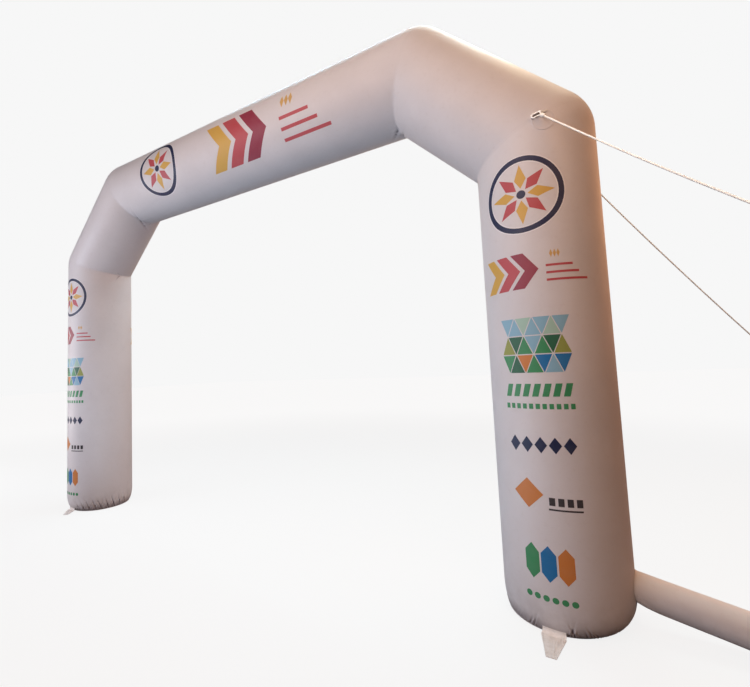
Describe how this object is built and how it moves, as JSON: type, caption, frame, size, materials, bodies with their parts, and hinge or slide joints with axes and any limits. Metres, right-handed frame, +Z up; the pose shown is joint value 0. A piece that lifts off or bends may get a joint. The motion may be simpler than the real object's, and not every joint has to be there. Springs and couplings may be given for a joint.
{
  "type": "inflatable arch",
  "caption": "Standing arch of round mitred air-filled fabric tubes, with an air inlet sleeve on one foot, ground tabs and guy ropes.",
  "frame": {"origin": "middle of the box round the arch, its sleeve and its tabs, on the ground", "axes": "+X along the arch from the left leg to the right leg, which has the sleeve; +Y from the front to the rear; +Z up"},
  "size_m": [7.1764, 2.5355, 4.305],
  "materials": {
    "coated_fabric": "coated, satin",
    "webbing": "woven, matt",
    "ring": "white coated wire",
    "rope": "laid cord, matt"
  },
  "bodies": {
    "root": {"leg_right": "coated_fabric", "shoulder_right": "coated_fabric", "beam": "coated_fabric", "shoulder_left": "coated_fabric", "leg_left": "coated_fabric", "base_right": "coated_fabric", "base_left": "coated_fabric", "inlet_sleeve": "coated_fabric", "anchor_tab_right": "webbing", "anchor_tab_left": "webbing", "guy_patch_front": "coated_fabric", "guy_patch_rear": "coated_fabric", "guy_tab_front": "webbing", "guy_tab_rear": "webbing", "guy_ring_front": "ring", "guy_ring_rear": "ring", "guy_rope_front": "rope", "guy_rope_rear": "rope", "guy_eye_front": "rope", "guy_eye_rear": "rope"}
  },
  "joints": []
}
